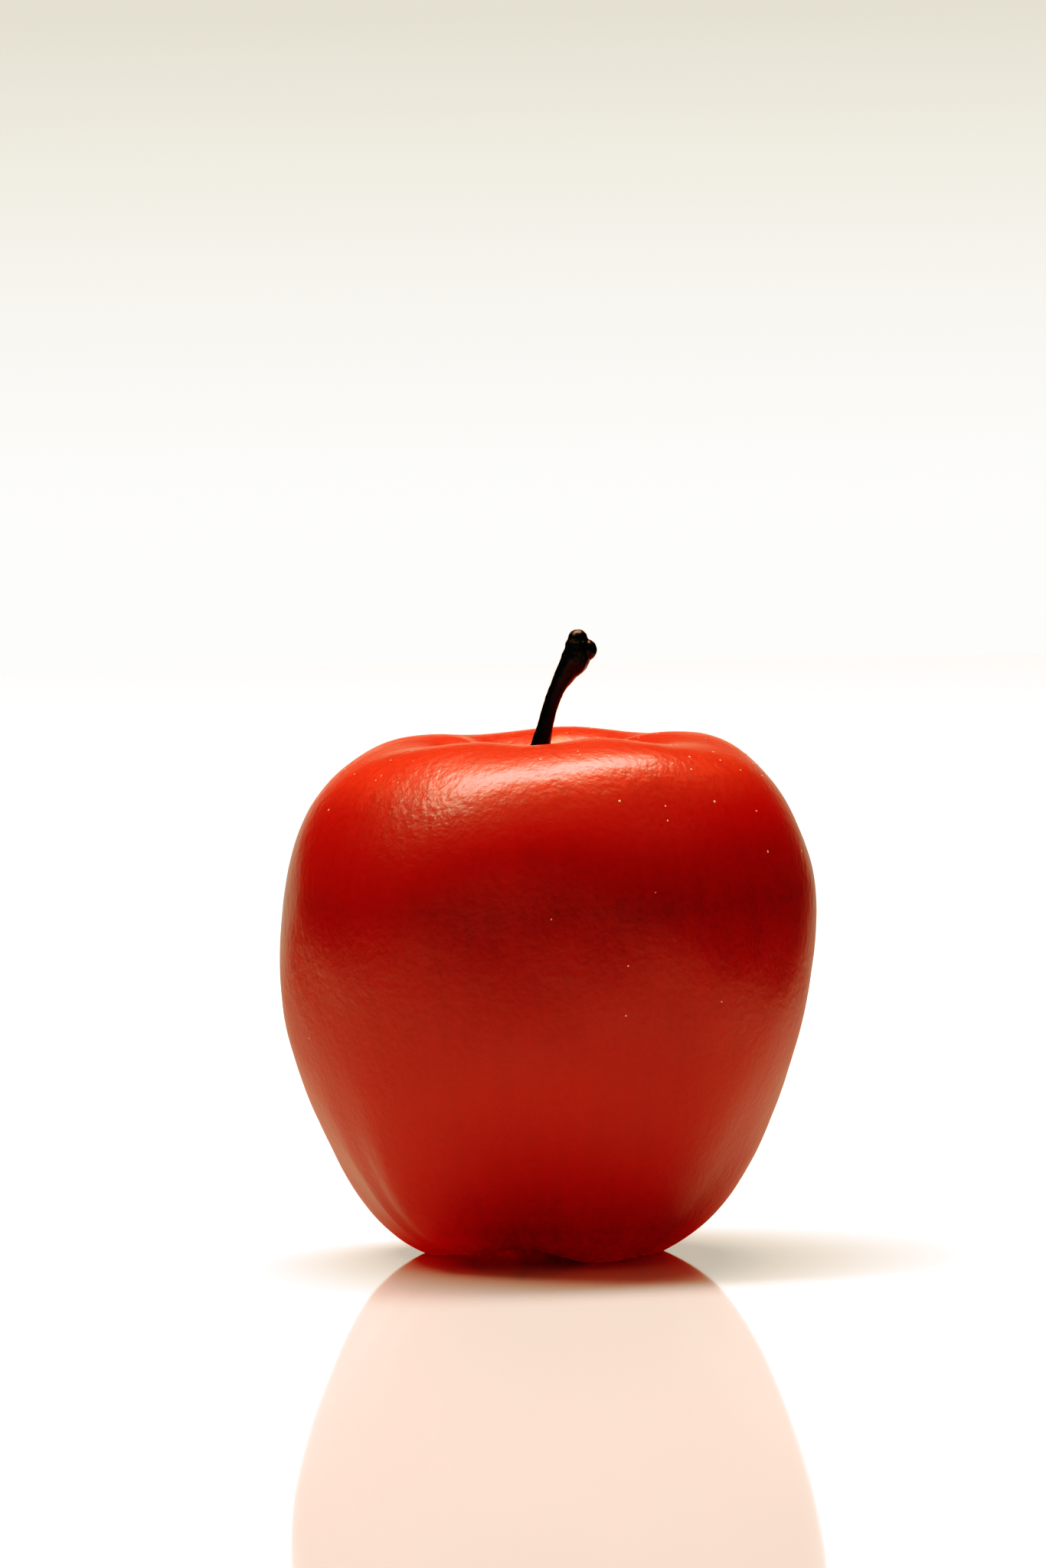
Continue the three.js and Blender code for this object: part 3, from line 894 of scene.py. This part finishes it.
def makeSurroundings(light):
    world = bpy.data.worlds.new("studio")
    scene.world = world
    world.use_nodes = True
    tree = world.node_tree
    tree.nodes.clear()
    way = addNode(tree, "ShaderNodeSeparateXYZ", None,
                  {0: addNode(tree, "ShaderNodeTexCoord").outputs["Generated"]}).outputs
    # the sweep glows behind the apple, brightest at the horizon and gone overhead
    zones = {}
    for axis, slopes, start, end in [("Y", "glowAhead", 0.0, 1.0),
                                     ("Z", "glowUp", light["glow"], 0.0),
                                     ("Z", "ceilingUp", light["room"], light["ceiling"]),
                                     ("Y", "frontAhead", light["front"], 0.0),
                                     ("Z", "frontUp", 1.0, 0.0)]:
        low, high = light[slopes]
        zones[slopes] = addNode(tree, "ShaderNodeMapRange", {"interpolation_type": "SMOOTHSTEP"},
                                {0: way[axis], 1: low, 2: high, 3: start, 4: end}).outputs[0]
    around = addNode(tree, "ShaderNodeMath", {"operation": "MULTIPLY_ADD"},
                     {0: zones["frontAhead"], 1: zones["frontUp"], 2: zones["ceilingUp"]})
    shade = addNode(tree, "ShaderNodeMath", {"operation": "MULTIPLY_ADD"},
                    {0: zones["glowAhead"], 1: zones["glowUp"], 2: around.outputs[0]})
    left, right = light["sides"]
    side = addNode(tree, "ShaderNodeMapRange", None,
                   {0: way["X"], 1: left, 2: right, 3: light["leftSide"], 4: light["rightSide"]})
    sided = addNode(tree, "ShaderNodeMath", {"operation": "MULTIPLY"},
                    {0: shade.outputs[0], 1: side.outputs[0]})
    low, high = light["backdropUp"]
    level = addNode(tree, "ShaderNodeMapRange", None, {0: way["Z"], 1: low, 2: high})
    ramp = addNode(tree, "ShaderNodeValToRGB", None, {0: level.outputs[0]})
    stops = ramp.color_ramp.elements
    while len(stops) < len(light["backdrop"]):
        stops.new(0.5)
    for stop, (position, grey) in zip(stops, light["backdrop"]):
        stop.position = position
        stop.color = (grey, grey, grey, 1)
    room = addNode(tree, "ShaderNodeBackground", None, {"Strength": sided.outputs[0]})
    room.inputs["Color"].default_value = (1, 1, 1, 1)
    seen = addNode(tree, "ShaderNodeBackground", None, {"Color": ramp.outputs[0]})
    direct = addNode(tree, "ShaderNodeLightPath").outputs["Is Camera Ray"]
    both = addNode(tree, "ShaderNodeMixShader", None,
                   {0: direct, 1: room.outputs[0], 2: seen.outputs[0]})
    addNode(tree, "ShaderNodeOutputWorld", None, {"Surface": both.outputs[0]})


makeFloor(studio)
makeSoftbox(studio)
makeSurroundings(studio)
